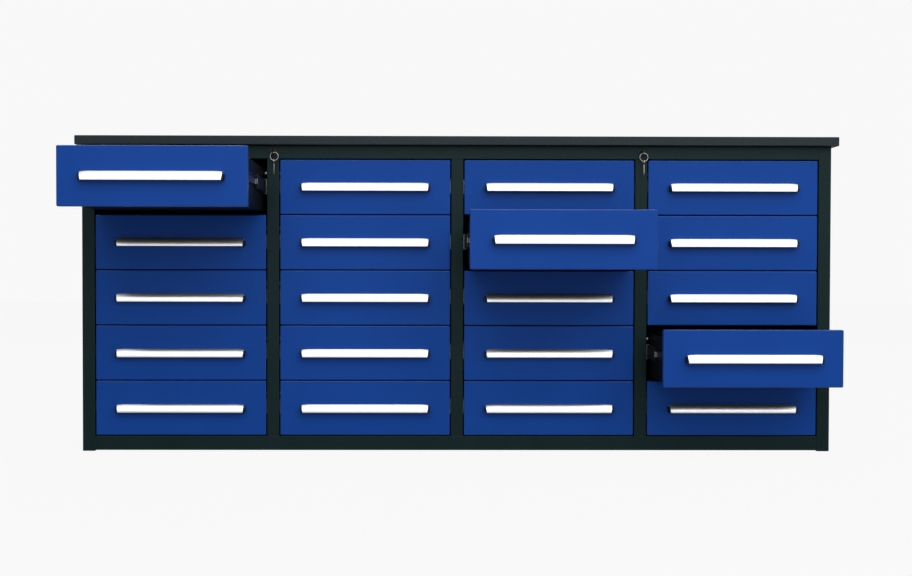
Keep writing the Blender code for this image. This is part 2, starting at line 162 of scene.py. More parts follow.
def buildGrain():
    group, given, out, place = newGroup("drawnGrain", {"Length": 60.0, "Width": 0.5}, ("Grain", "Shade"))
    along, across = (sizeToScale(group, given[name]) for name in ("Length", "Width"))
    stretch = addNode(group, "ShaderNodeCombineXYZ")
    feed(group, stretch.inputs["X"], along)
    feed(group, stretch.inputs["Y"], across)
    feed(group, stretch.inputs["Z"], across)
    drawn = addNode(group, "ShaderNodeVectorMath", operation="MULTIPLY")
    feed(group, drawn.inputs[0], place)
    feed(group, drawn.inputs[1], stretch.outputs[0])
    feed(group, out["Grain"], noise(group, drawn.outputs[0], 1.0, 2.0, 0.6))
    feed(group, out["Shade"], noise(group, drawn.outputs[0], 0.13, 2.0))
    return group


def buildBendGloss():  # paint shines more where the sheet bends away from the flat face
    group, given, out, place = newGroup("bendGloss", {"Amount": 0.8, "Patch": 30.0}, ("Mask",))
    split = addNode(group, "ShaderNodeSeparateXYZ")
    feed(group, split.inputs[0], addNode(group, "ShaderNodeNewGeometry").outputs["Normal"])
    away = maths(group, "SUBTRACT", 1.0, maths(group, "ABSOLUTE", split.outputs["Y"]))
    cloud = ramp(group, noise(group, place, sizeToScale(group, given["Patch"]), 3.0), 0.7, 1.0, 0.3, 0.7)
    bent = maths(group, "MULTIPLY", ramp(group, away, 0.0, 1.0, 0.01, 0.14), cloud)
    feed(group, out["Mask"], maths(group, "MULTIPLY", bent, given["Amount"], clamp=True))
    return group


powderCoat, edgeWearAndHighlight, dust, drawnGrain = buildPowderCoat(), buildEdgeWearAndHighlight(), buildDust(), buildGrain()
bendGloss = buildBendGloss()
print("shared effects ready")

# finishes


def useGroup(tree, group, values):
    return addNode(tree, "ShaderNodeGroup", node_tree=group, values=values).outputs


def newMaterial(name, look):
    material = bpy.data.materials.new(name)
    material.use_nodes = True
    shader = material.node_tree.nodes["Principled BSDF"]
    shader.inputs["Metallic"].default_value = look.get("metallic", 0.0)
    shader.inputs["Specular IOR Level"].default_value = look.get("specular", 0.5)
    material.diffuse_color = (*look["colour"], 1.0)
    return material, material.node_tree, shader


def addBump(tree, shader, height, depth, strength=1.0):
    bump = addNode(tree, "ShaderNodeBump", {"Strength": strength, "Distance": depth * mm})
    feed(tree, bump.inputs["Height"], height)
    feed(tree, shader.inputs["Normal"], bump.outputs[0])


def paintedSteel(name, look):
    material, tree, shader = newMaterial(name, look)
    coat = useGroup(tree, powderCoat, {"Peel": look["peel"], "Patch": look["patch"]})
    wearAndHighlight = useGroup(tree, edgeWearAndHighlight, {"Radius": look["edge"], "Breakup": look["breakup"]})["Mask"]
    grey = useGroup(tree, dust, {"Amount": look["dust"], "Patch": 70.0})["Mask"]
    base = mixColour(tree, coat["Patch"], look["colour"], look["patchColour"])
    # lighter edges: worn paint, and on the blue a painted highlight
    base = mixColour(tree, maths(tree, "MULTIPLY", wearAndHighlight, look["wearAndHighlight"]), base, look["edgeWearAndHighlightColour"])
    base = mixColour(tree, grey, base, look["dustColour"])
    feed(tree, shader.inputs["Base Color"], base)
    low, high = look["roughness"]
    rough = ramp(tree, coat["Patch"], low, high)
    dulled = maths(tree, "MULTIPLY", grey, 0.4)
    feed(tree, shader.inputs["Roughness"], maths(tree, "ADD", rough, dulled, clamp=True))
    gloss = useGroup(tree, bendGloss, {"Amount": look["bendGloss"], "Patch": 30.0})["Mask"]
    feed(tree, shader.inputs["Coat Weight"], gloss)
    shader.inputs["Coat Roughness"].default_value = look["coatRoughness"]
    addBump(tree, shader, coat["Peel"], look["peelDepth"])
    return material


def drawnMetal(name, look):
    material, tree, shader = newMaterial(name, look)
    grain = useGroup(tree, drawnGrain, {"Length": look["length"], "Width": look["width"]})
    coat = useGroup(tree, powderCoat, {"Peel": look["width"], "Patch": look["patch"]})
    streaks = ramp(tree, grain["Shade"], 0.0, 1.0, 0.35, 0.65)
    shade = mixColour(tree, streaks, look["colour"], look["streakColour"])
    feed(tree, shader.inputs["Base Color"], mixColour(tree, coat["Patch"], shade, look["patchColour"]))
    low, high = look["roughness"]
    feed(tree, shader.inputs["Roughness"], ramp(tree, grain["Grain"], low, high, 0.3, 0.7))
    addBump(tree, shader, grain["Grain"], look["grainDepth"])
    return material


def mouldedPlastic(name, look):
    material, tree, shader = newMaterial(name, look)
    coat = useGroup(tree, powderCoat, {"Peel": look["peel"], "Patch": look["patch"]})
    grey = useGroup(tree, dust, {"Amount": look["dust"], "Patch": 40.0})["Mask"]
    base = mixColour(tree, coat["Patch"], look["colour"], look["patchColour"])
    feed(tree, shader.inputs["Base Color"], mixColour(tree, grey, base, look["dustColour"]))
    low, high = look["roughness"]
    feed(tree, shader.inputs["Roughness"], ramp(tree, coat["Peel"], low, high, 0.3, 0.7))
    addBump(tree, shader, coat["Peel"], look["peelDepth"])
    return material


def pressedBoard(name, look):
    material, tree, shader = newMaterial(name, look)
    place = addNode(tree, "ShaderNodeTexCoord").outputs["Object"]
    chips = addNode(tree, "ShaderNodeTexVoronoi", {"Scale": 1000.0 / look["chip"], "Randomness": 1.0})
    feed(tree, chips.inputs["Vector"], place)
    split = addNode(tree, "ShaderNodeSeparateColor")
    feed(tree, split.inputs[0], chips.outputs["Color"])
    base = mixColour(tree, split.outputs[0], look["colour"], look["patchColour"])
    feed(tree, shader.inputs["Base Color"], base)
    feed(tree, shader.inputs["Roughness"], ramp(tree, split.outputs[1], *look["roughness"]))
    addBump(tree, shader, chips.outputs["Distance"], 0.3)
    return material


bluePaint = paintedSteel("blue powder coat", {
    "colour": (0.0060, 0.0510, 0.275),
    "patchColour": (0.0066, 0.0545, 0.289),
    # the light blue on the edges is mostly a painted highlight, with some wear
    "edgeWearAndHighlightColour": (0.100, 0.170, 0.440),
    "dustColour": (0.10, 0.13, 0.20),
    "roughness": (0.33, 0.39),
    "specular": 0.06,
    "peel": 2.4, "peelDepth": 0.05, "patch": 210.0,
    "edge": 2.6, "breakup": 22.0, "wearAndHighlight": 0.85, "dust": 0.12, "bendGloss": 0.9, "coatRoughness": 0.24,
})
blackLook = {
    "colour": (0.0036, 0.0148, 0.0165),
    "patchColour": (0.0053, 0.0178, 0.0195),
    "edgeWearAndHighlightColour": (0.050, 0.062, 0.066),
    "dustColour": (0.11, 0.11, 0.105),
    "roughness": (0.38, 0.46),
    "specular": 0.10,
    "peel": 2.2, "peelDepth": 0.06, "patch": 150.0,
    "edge": 1.6, "breakup": 16.0, "wearAndHighlight": 0.40, "dust": 0.15, "bendGloss": 0.25, "coatRoughness": 0.24,
}
boxLookChanges = {
    "colour": (0.0055, 0.0055, 0.0060),
    "patchColour": (0.0075, 0.0072, 0.0075),
    "specular": 0.04, "bendGloss": 0.0,
}
blackPaint = paintedSteel("black powder coat", blackLook)
boxPaint = paintedSteel("drawer box paint", {**blackLook, **boxLookChanges})
charcoalPaint = paintedSteel("charcoal powder coat", {
    "colour": (0.0100, 0.0185, 0.0228),
    "patchColour": (0.0118, 0.0212, 0.0260),
    "edgeWearAndHighlightColour": (0.085, 0.095, 0.100),
    "dustColour": (0.13, 0.13, 0.125),
    "roughness": (0.42, 0.52),
    "specular": 0.18,
    "peel": 1.8, "peelDepth": 0.08, "patch": 240.0,
    "edge": 1.6, "breakup": 20.0, "wearAndHighlight": 0.45, "dust": 0.18, "bendGloss": 0.1, "coatRoughness": 0.24,
})
satinAluminium = drawnMetal("satin aluminium", {
    "colour": (0.86, 0.865, 0.86),
    "streakColour": (0.78, 0.79, 0.80),
    "patchColour": (0.83, 0.835, 0.83),
    "roughness": (0.28, 0.37),
    "metallic": 1.0,
    "length": 90.0, "width": 0.45, "patch": 120.0, "grainDepth": 0.012,
})
zincPlate = drawnMetal("zinc plate", {
    "colour": (0.39, 0.395, 0.39),
    "streakColour": (0.31, 0.315, 0.32),
    "patchColour": (0.35, 0.35, 0.335),
    "roughness": (0.44, 0.58),
    "metallic": 0.35,
    "length": 30.0, "width": 0.9, "patch": 24.0, "grainDepth": 0.02,
})
greasedSteel = drawnMetal("greased slide steel", {
    "colour": (0.075, 0.076, 0.076),
    "streakColour": (0.050, 0.050, 0.050),
    "patchColour": (0.060, 0.058, 0.052),
    "roughness": (0.26, 0.40),
    "metallic": 1.0,
    "length": 30.0, "width": 0.9, "patch": 24.0, "grainDepth": 0.02,
})
nickelPlate = drawnMetal("nickel plate", {
    "colour": (0.40, 0.395, 0.385),
    "streakColour": (0.34, 0.335, 0.325),
    "patchColour": (0.36, 0.355, 0.345),
    "roughness": (0.18, 0.30),
    "metallic": 1.0,
    "length": 8.0, "width": 0.6, "patch": 15.0, "grainDepth": 0.01,
})
darkNickel = drawnMetal("dark nickel", {
    "colour": (0.018, 0.018, 0.019),
    "streakColour": (0.014, 0.014, 0.015),
    "patchColour": (0.022, 0.022, 0.022),
    "roughness": (0.30, 0.42),
    "metallic": 1.0,
    "length": 8.0, "width": 0.6, "patch": 15.0, "grainDepth": 0.01,
})
blackPlastic = mouldedPlastic("black plastic", {
    "colour": (0.006, 0.006, 0.007),
    "patchColour": (0.008, 0.008, 0.009),
    "dustColour": (0.09, 0.09, 0.09),
    "roughness": (0.45, 0.60),
    "specular": 0.15,
    "peel": 0.7, "peelDepth": 0.03, "patch": 30.0, "dust": 0.12,
})
ribbedRubber = mouldedPlastic("ribbed rubber", {
    "colour": (0.022, 0.023, 0.025),
    "patchColour": (0.030, 0.031, 0.032),
    "dustColour": (0.14, 0.135, 0.125),
    "roughness": (0.62, 0.78),
    "specular": 0.3,
    "peel": 1.0, "peelDepth": 0.05, "patch": 60.0, "dust": 0.30,
})
boardCore = pressedBoard("pressed board", {
    "colour": (0.30, 0.20, 0.11),
    "patchColour": (0.45, 0.33, 0.20),
    "roughness": (0.75, 0.9),
    "chip": 6.0,
})
print("finishes ready")

# shaping

sharpAngle, bevelAngle = math.radians(38), math.radians(40)


def axisPlace(axis):
    return {
        "X": lambda a, b, along: (along, a, b),
        "Y": lambda a, b, along: (a, along, b),
        "Z": lambda a, b, along: (a, b, along),
    }[axis]


def softenCorners(points, radius, steps=3):
    out = []
    for index, corner in enumerate(points):
        corner, before, after = (Vector(points[i % len(points)]) for i in (index, index - 1, index + 1))
        toBefore, toAfter = before - corner, after - corner
        if toBefore.normalized().dot(toAfter.normalized()) < -0.94:  # a point on a curve stays
            out.append(tuple(corner))
            continue
        reach = min(radius, 0.45 * toBefore.length, 0.45 * toAfter.length)
        start, end = corner + toBefore.normalized() * reach, corner + toAfter.normalized() * reach
        for step in range(steps + 1):
            t = step / steps
            out.append(tuple(start * (1 - t) ** 2 + corner * 2 * t * (1 - t) + end * t ** 2))
    return out


def loft(shape, rings, closed=False):
    made = [[shape.verts.new(point) for point in ring] for ring in rings]
    pairs = list(zip(made, made[1:])) + ([(made[-1], made[0])] if closed else [])
    for near, far in pairs:
        for index in range(len(near)):
            after = (index + 1) % len(near)
            shape.faces.new((near[index], near[after], far[after], far[index]))
    if not closed:
        shape.faces.new(made[0])
        shape.faces.new(made[-1])


def extrude(shape, outline, axis, start, end):
    put = axisPlace(axis)
    loft(shape, [[put(a, b, along) for a, b in outline] for along in (start, end)])


def roundRectangle(low, high, radius, steps):
    points = [(low[0], low[1]), (high[0], low[1]), (high[0], high[1]), (low[0], high[1])]
    out = []
    middle = Vector(((low[0] + high[0]) / 2, (low[1] + high[1]) / 2))
    for quarter, corner in enumerate(points):
        inward = [math.copysign(radius, inner - outer) for inner, outer in zip(middle, corner)]
        centre = Vector(corner) + Vector(inward)
        for step in range(steps + 1):
            turn = math.pi + (quarter + step / steps) * math.pi / 2
            out.append((centre.x + radius * math.cos(turn), centre.y + radius * math.sin(turn)))
    return out


def rectangleLoft(shape, low, high, radius, axis, levels, steps=4):
    put = axisPlace(axis)
    rings = []
    for inset, level in levels:
        near, far = (low[0] + inset, low[1] + inset), (high[0] - inset, high[1] - inset)
        outline = roundRectangle(near, far, max(radius - inset, 0.15 * mm), steps)
        rings.append([put(a, b, level) for a, b in outline])
    loft(shape, rings)


def bend(radius, start, end, inset, level, down, count=5):
    turns = [math.radians(start + (end - start) * step / count) for step in range(count + 1)]
    return [(inset - radius * math.sin(turn), level - down * radius * math.cos(turn)) for turn in turns]


def ringPoints(centre, radius, count, axis, along):
    put = axisPlace(axis)
    turns = [2 * math.pi * step / count for step in range(count)]
    circle = [(centre[0] + radius * math.cos(turn), centre[1] + radius * math.sin(turn)) for turn in turns]
    return [put(a, b, along) for a, b in circle]


def turned(shape, profile, centre, axis="Y", count=28):
    least = 0.02 * mm  # so that a pointed end still has its ring
    loft(shape, [ringPoints(centre, max(radius, least), count, axis, along) for radius, along in profile])


def torus(shape, centre, radius, wire, axis="Y", count=40, sides=10):
    put = axisPlace(axis)
    rings = []
    for step in range(count):
        turn = 2 * math.pi * step / count
        ring = []
        for side in range(sides):
            around = 2 * math.pi * side / sides
            reach = radius + wire * math.cos(around)
            a, b, along = reach * math.cos(turn), reach * math.sin(turn), wire * math.sin(around)
            ring.append(Vector(centre) + Vector(put(a, b, along)))
        rings.append(ring)
    loft(shape, rings, closed=True)


def ballRow(shape, centre, radius, count, pitch):
    for index in range(count):
        place = Matrix.Translation(Vector(centre) + Vector((0, index * pitch, 0)))
        bmesh.ops.create_uvsphere(shape, u_segments=8, v_segments=5, radius=radius, matrix=place)


def roundBlock(shape, low, high, radius=0.4 * mm):
    levels = [(radius, low[2]), (radius * 0.3, low[2] + radius * 0.3), (0, low[2] + radius)]
    levels += [(0, high[2] - radius), (radius * 0.3, high[2] - radius * 0.3), (radius, high[2])]
    rectangleLoft(shape, low[:2], high[:2], radius * 1.01, "Z", levels, 2)


def meshFrom(shape, name):
    bmesh.ops.recalc_face_normals(shape, faces=shape.faces)
    mesh = bpy.data.meshes.new(name)
    shape.to_mesh(mesh)
    shape.free()
    return mesh


def showMesh(name, mesh, material, offset=(0, 0, 0), bevel=0.0):
    mesh.transform(Matrix.Translation(offset))
    mesh.materials.clear()
    mesh.materials.append(material)
    mesh.shade_smooth()
    mesh.set_sharp_from_angle(angle=sharpAngle)
    item = bpy.data.objects.new(name, mesh)
    bpy.context.scene.collection.objects.link(item)
    softenObject(item, bevel)
    return item


def softenObject(item, bevel):
    if bevel:
        edges = item.modifiers.new("edges", "BEVEL")
        edges.width, edges.segments, edges.limit_method = bevel, 2, "ANGLE"
        edges.angle_limit = bevelAngle
    shading = item.modifiers.new("shading", "WEIGHTED_NORMAL")
    shading.keep_sharp = not bevel


def carve(mesh, cutters):
    base = bpy.data.objects.new("carved", mesh)
    tool = bpy.data.objects.new("cutter", meshFrom(cutters, "cutter"))
    for item in (base, tool):
        bpy.context.scene.collection.objects.link(item)
    cut = base.modifiers.new("cut", "BOOLEAN")
    cut.operation, cut.solver, cut.object = "DIFFERENCE", "EXACT", tool
    bpy.context.view_layer.update()
    result = bpy.data.meshes.new_from_object(base.evaluated_get(bpy.context.evaluated_depsgraph_get()))
    for item in (base, tool):
        bpy.data.objects.remove(item, do_unlink=True)
    return result


def addPiece(name, mesh, material, body, replaced=(), offset=(0, 0, 0), bevel=0.0):
    item = showMesh(name, mesh, material, offset, bevel)
    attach(item, body)
    if replaced:
        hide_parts(*replaced)
    return item


# the bench's places


def spanOf(node):
    low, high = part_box(node)
    return Vector(low), Vector(high)


leftWall, rightWall = spanOf("left_side_panel"), spanOf("right_side_panel")
topRail, bottomRail = spanOf("top_rail"), spanOf("bottom_rail")
worktop = spanOf("worktop_cover")
frontY = topRail[0].y
slideLook = {
    "height": 45.0 * mm, "depth": 12.2 * mm, "length": 500 * mm, "setback": 21 * mm, "rise": 3 * mm,
}


def drawerPlace(column, row):
    low, high = spanOf(f"drawer_c{column}r{row}")
    return Vector(((low.x + high.x) / 2, low.y, (low.z + high.z) / 2))


rowHeights = {row: drawerPlace(2, row).z for row in rows}
closedY = drawerPlace(2, 1).y
openingHalf = 260.5 * mm  # from a column's middle to its wall

# frame

endWallLook = {"edge": 2.0 * mm, "footLength": 70 * mm, "footHeight": 3 * mm}


def buildEndWalls():
    look = endWallLook
    for name, (low, high) in (("left_side_panel", leftWall), ("right_side_panel", rightWall)):
        inner = high.x if name.startswith("left") else low.x
        outer = low.x if name.startswith("left") else high.x
        wallInside = math.copysign(topRail[1].x + play, outer)
        footEnd, rise = high.y - look["footLength"], look["footHeight"]
        outline = [
            (low.y, low.z), (-footEnd, low.z), (-footEnd + rise, rise), (footEnd - rise, rise),
            (footEnd, low.z), (high.y, low.z), (high.y, high.z), (low.y, high.z),
        ]
        shape = bmesh.new()
        extrude(shape, outline, "X", wallInside, outer)
        mesh = meshFrom(shape, name)
        addPiece(f"{name}_skin", mesh, blackPaint, "cabinet", (name,), bevel=look["edge"])


dividerLook = {
    "half": 18.5 * mm, "corner": 2.4 * mm, "slotDepth": (18 * mm, 36 * mm), "slotRise": (37 * mm, 61 * mm),
}


def buildDividers():
    look = dividerLook
    for number in (1, 2, 3):
        low, high = spanOf(f"divider_{number}")
        middle = (low.x + high.x) / 2
        left, right = middle - look["half"], middle + look["half"]
        outer = roundRectangle((left, low.y), (right, high.y), look["corner"], 5)
        near, far = (left + steel, low.y + steel), (right - steel, high.y - steel)
        inner = roundRectangle(near, far, look["corner"] - steel, 5)
        shape = bmesh.new()
        skins = ((outer, low.z), (outer, high.z), (inner, high.z), (inner, low.z))
        loft(shape, [[(a, b, level) for a, b in outline] for outline, level in skins], closed=True)
        cutters = bmesh.new()
        past = (left - steel, right + steel)
        seat = topRail[0].z - play  # the rail passes in front of the wall from here up
        roundBlock(cutters, (past[0], low.y - steel, seat), (past[1], topRail[1].y + play, high.z + steel))
        if number != 2:  # slots for the lock bar's pegs
            for height in rowHeights.values():
                start, end = ((low.y + look["slotDepth"][i], height + look["slotRise"][i]) for i in (0, 1))
                roundBlock(cutters, (past[0], *start), (past[1], *end))
        mesh = carve(meshFrom(shape, "divider"), cutters)
        name = f"divider_{number}"
        addPiece(f"{name}_skin", mesh, blackPaint, "cabinet", (name,))


railLook = {"corner": 1.6 * mm, "lockHole": 9.8 * mm}


def buildRails():
    look = railLook
    for name, (low, high) in (("top_rail", topRail), ("bottom_rail", bottomRail)):
        bottom, top, back = low.z, high.z, high.y
        section = [
            (low.y, bottom), (back, bottom), (back, bottom + steel), (low.y + steel, bottom + steel),
            (low.y + steel, top - steel), (back, top - steel), (back, top), (low.y, top),
        ]
        shape = bmesh.new()
        extrude(shape, softenCorners(section, look["corner"]), "X", low.x, high.x)
        mesh = meshFrom(shape, name)
        if name == "top_rail":
            cutters = bmesh.new()
            profile = [(look["lockHole"], low.y - steel), (look["lockHole"], low.y + 3 * steel)]
            for axis in lockPlaces.values():
                turned(cutters, profile, (axis.x, axis.z))
            mesh = carve(mesh, cutters)
        addPiece(f"{name}_skin", mesh, blackPaint, "cabinet", (name,))


def lockPlace(number):
    low, high = spanOf(f"lock_barrel_{number}")
    return Vector(((low.x + high.x) / 2, frontY, (low.z + high.z) / 2))


lockPlaces = {number: lockPlace(number) for number in (1, 2)}

backLook = {"bend": 2.5 * mm, "rivets": 14, "rivetRows": 5, "rivetRadius": 3.2 * mm, "inset": 14 * mm}


def buildBack():
    look = backLook
    low, high = spanOf("back_panel")
    radius = look["bend"]
    outside = bend(radius, 0, 90, radius, high.y - radius, -1)
    inside = bend(radius - steel, 90, 0, radius, high.y - radius, -1)
    shape = bmesh.new()
    levels = outside + [(0, low.y), (steel, low.y)] + inside
    rectangleLoft(shape, (low.x, low.z), (high.x, high.z), 2 * mm, "Y", levels)
    addPiece("back_sheet", meshFrom(shape, "back"), blackPaint, "cabinet", ("back_panel",))
    rivets = bmesh.new()
    left, right = low.x + look["inset"], high.x - look["inset"]
    bottom, top = low.z + look["inset"], high.z - look["inset"]
    across, up = (right - left) / look["rivets"], (top - bottom) / look["rivetRows"]
    spots = [(left + across * i, z) for i in range(look["rivets"] + 1) for z in (bottom, top)]
    spots += [(x, bottom + up * i) for i in range(1, look["rivetRows"]) for x in (left, 0, right)]
    size = look["rivetRadius"]
    dome = [(0, 0.42), (0.35, 0.38), (0.7, 0.25), (0.95, 0.08), (1.0, 0.0)]
    for x, z in spots:
        turned(rivets, [(size * r, high.y + play / 3 + size * h) for r, h in dome], (x, z), count=14)
    addPiece("back_rivets", meshFrom(rivets, "rivets"), blackPaint, "cabinet")


worktopLook = {"corner": 5 * mm, "bend": 2.2 * mm, "lip": 18 * mm}


def buildWorktop():
    look = worktopLook
    low, high = worktop
    radius, bottom, top = look["bend"], low.z, high.z
    under = bend(radius, 0, 90, radius, bottom + radius, 1)
    over = bend(radius, 90, 0, radius, top - radius, -1)
    levels = [(steel, top - steel), (steel, bottom + steel)]
    levels += [(look["lip"], bottom + steel), (look["lip"], bottom)]
    shape = bmesh.new()
    rectangleLoft(shape, low.xy, high.xy, look["corner"], "Z", levels + under + over, 6)
    mesh = meshFrom(shape, "worktop")
    addPiece("worktop_skin", mesh, charcoalPaint, "cabinet", ("worktop_cover",))
    core = bmesh.new()
    inset = steel + play
    edge = 1 * mm
    levels = [(inset + edge, bottom + inset), (inset, bottom + inset + edge), (inset, top - inset)]
    rectangleLoft(core, low.xy, high.xy, look["corner"], "Z", levels, 4)
    mesh = meshFrom(core, "board")
    addPiece("worktop_board", mesh, boardCore, "cabinet", ("worktop_core",))


def keepNode(node, material, bevel):
    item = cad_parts[node]
    item.data.materials.clear()
    item.data.materials.append(material)
    softenObject(item, bevel)


buildEndWalls()
buildDividers()
buildRails()
buildBack()
buildWorktop()
keepNode("base_panel", blackPaint, 0.5 * mm)
keepNode("mid_foot", blackPaint, 0.5 * mm)
print("frame built")

# slides

outerLook = {
    "lugReach": 4.0 * mm, "lugHeight": 41 * mm, "lugThickness": 1.5 * mm,
    "screws": (35 * mm, 163 * mm, 290 * mm, 420 * mm),
    "head": ((2.6 * mm, 1.3 * mm), (2.9 * mm, 1.7 * mm), (2.4 * mm, 2.2 * mm), (0.4 * mm, 2.3 * mm)),
}


def channelOutline(wall, side, web, depth, height, thickness):
    half = height / 2
    section = [
        (web, -half), (depth, -half), (depth, -half + thickness), (web + thickness, -half + thickness),
        (web + thickness, half - thickness), (depth, half - thickness), (depth, half), (web, half),
    ]
    return [(wall + side * out, up) for out, up in softenCorners(section, 0.9 * thickness, 2)]


def buildOuterSlides():
    look = outerLook
    start = frontY + slideLook["setback"]
    walls = {}
    for column in columns:
        middle = drawerPlace(column, 5).x
        walls[f"slides_c{column}_left"] = (middle - openingHalf, 1)
        walls[f"slides_c{column}_right"] = (middle + openingHalf, -1)
    for name, (wall, side) in walls.items():
        shape = bmesh.new()
        base = wall + side * play / 3
        for row in rows:
            centre = rowHeights[row] + slideLook["rise"]
            outline = channelOutline(base, side, 0, slideLook["depth"], slideLook["height"], steel)
            raised = [(out, up + centre) for out, up in outline]
            extrude(shape, raised, "Y", start, start + slideLook["length"])
            reach = sorted((base, base + side * look["lugReach"]))
            half, front = look["lugHeight"] / 2, start - look["lugThickness"]
            roundBlock(shape, (reach[0], front, centre - half), (reach[1], start - play / 3, centre + half))
            profile = [(radius, base + side * rise) for radius, rise in look["head"]]
            for along in look["screws"]:
                turned(shape, profile, (start + along, centre), "X", 12)
        addPiece(name, meshFrom(shape, name), zincPlate, "cabinet")


middleLook = {
    "web": 4.8 * mm, "reach": 12.0 * mm, "height": 35 * mm,
    "balls": 14, "ballPitch": 15 * mm, "ballsStart": 9 * mm,
    # each row's height, its balls' radius and its distance from the wall
    "ballRows": ((19.45 * mm, 1.75 * mm, 7.6 * mm), (14.65 * mm, 1.5 * mm, 9.4 * mm)),
    "cageHalf": 2.6 * mm, "cageStart": 2 * mm, "cageEdge": 0.4 * mm,
    "ribs": (-7 * mm, 7 * mm), "ribHalf": 2 * mm,
    "ribReach": (4.2 * mm, 4.7 * mm), "ribRun": (12 * mm, 480 * mm),
    "stops": ((5.0 * mm, 7.4 * mm), (9.6 * mm, 12.0 * mm)), "stopHeight": 15 * mm, "stopThickness": 1.6 * mm,
    "soft": 0.2 * mm,
}


def middleSlideMesh():
    look = middleLook
    shape = bmesh.new()
    start, rise, soft = slideLook["setback"], slideLook["rise"], look["soft"]
    for side in (-1, 1):
        wall = side * openingHalf
        for up in look["ribs"]:  # pressed ribs along the web
            rib = sorted(wall - side * reach for reach in look["ribReach"])
            low, high = rise + up - look["ribHalf"], rise + up + look["ribHalf"]
            near, far = (start + run for run in look["ribRun"])
            roundBlock(shape, (rib[0], near, low), (rib[1], far, high), soft)
        outline = channelOutline(wall, -side, look["web"], look["reach"], look["height"], steel)
        raised = [(out, up + rise) for out, up in outline]
        extrude(shape, raised, "Y", start, start + slideLook["length"])
        for row, ball, out in look["ballRows"]:
            for up in (-1, 1):
                x, z = wall - side * out, rise + up * row
                ballRow(shape, (x, start + look["ballsStart"], z), ball, look["balls"], look["ballPitch"])
                near, far = start + look["cageStart"], start + look["balls"] * look["ballPitch"]
                half, edge = look["cageHalf"], look["cageEdge"]
                roundBlock(shape, (x - half, near, z - edge), (x + half, far, z + edge), soft)
    return meshFrom(shape, "middle slides")


def slideStopMesh():
    look = middleLook
    shape = bmesh.new()
    start, rise, tall = slideLook["setback"], slideLook["rise"], look["stopHeight"] / 2
    front = start - look["stopThickness"]
    for side in (-1, 1):
        wall = side * openingHalf
        for stop in look["stops"]:  # two tongues bent over the end of the web
            reach = sorted(wall - side * out for out in stop)
            roundBlock(shape, (reach[0], front, rise - tall), (reach[1], start - play, rise + tall))
    return meshFrom(shape, "slide stops")


innerLook = {
    "reach": 6.0 * mm, "height": 26 * mm, "screws": (40 * mm, 200 * mm, 360 * mm),
    "head": ((2.6 * mm, 1.3 * mm), (2.8 * mm, 1.7 * mm), (2.3 * mm, 2.1 * mm), (0.4 * mm, 2.2 * mm)),
}
boxLook = {
    "width": 495 * mm, "bottom": -72.3 * mm, "top": 58.3 * mm, "front": 19.3 * mm, "back": 535 * mm,
    "sheet": 1.0 * mm, "corner": 3 * mm, "hem": 4.4 * mm, "hemLap": 9 * mm,
}


def innerSlideMesh():
    look = innerLook
    shape = bmesh.new()
    start, rise = slideLook["setback"] - 1 * mm, slideLook["rise"]
    for side in (-1, 1):
        wall = side * (boxLook["width"] / 2 + play / 3)
        outline = channelOutline(wall, side, 0, look["reach"], look["height"], steel)
        raised = [(out, up + rise) for out, up in outline]
        extrude(shape, raised, "Y", start, start + slideLook["length"])
        profile = [(radius, wall + side * out) for radius, out in look["head"]]
        for along in look["screws"]:
            turned(shape, profile, (start + along, rise), "X", 12)
    return meshFrom(shape, "inner slides")


# drawers

frontLook = {
    "width": 515 * mm, "height": 164.6 * mm, "depth": 18 * mm, "corner": 3.6 * mm, "bend": 3.0 * mm,
}
handleLook = {
    "half": 190.0 * mm, "bottom": -12.5 * mm, "reach": 24 * mm, "radius": 35.1 * mm, "turn": (-4, 40),
    "wall": 2.5 * mm, "lip": 7 * mm, "flangeEnd": -3.1 * mm, "slant": 0.13,
    "endRun": 20 * mm, "endHeight": 0.86,
    "capEnd": 195.6 * mm, "capSlant": 0.05, "capGrow": 0.3 * mm, "capTurn": 25,
}
linerLook = {
    "rib": 6.5 * mm, "ribShares": (0.45, 0.58, 0.87), "base": 1.2 * mm, "height": 1.1 * mm, "inset": 2.5 * mm,
}


def frontMesh():
    look = frontLook
    radius = look["bend"]
    outside = bend(radius, 0, 90, radius, radius, 1)
    inside = bend(radius - steel, 90, 0, radius, radius, 1)
    levels = outside + [(0, look["depth"]), (steel, look["depth"])] + inside
    shape = bmesh.new()
    half = (look["width"] / 2, look["height"] / 2)
    rectangleLoft(shape, (-half[0], -half[1]), half, look["corner"], "Y", levels, 5)
    return meshFrom(shape, "front")


def boxMesh():
    look = boxLook
    half, bottom, top, wall = look["width"] / 2, look["bottom"], look["top"], look["sheet"]
    hem, lap = look["hem"] / 2, top - look["hemLap"]
    turns = [math.radians(turn) for turn in range(0, 181, 30)]
    roll = [(hem * (1 - math.cos(turn)), top - hem + hem * math.sin(turn)) for turn in turns]
    # from the underside out round the bottom bend, up, over the hem and down again inside
    levels = [(2 * mm, bottom), (0.6 * mm, bottom + 0.6 * mm), (0, bottom + 2 * mm)]
    levels += roll + [(2 * hem, lap), (wall, lap - 0.5 * mm)]
    inside = ((0, 3 * mm), (0.6 * mm, 1.6 * mm), (2 * mm, wall))
    levels += [(wall + inset, bottom + up) for inset, up in inside]
    shape = bmesh.new()
    rectangleLoft(shape, (-half, look["front"]), (half, look["back"]), look["corner"], "Z", levels, 4)
    return meshFrom(shape, "box")


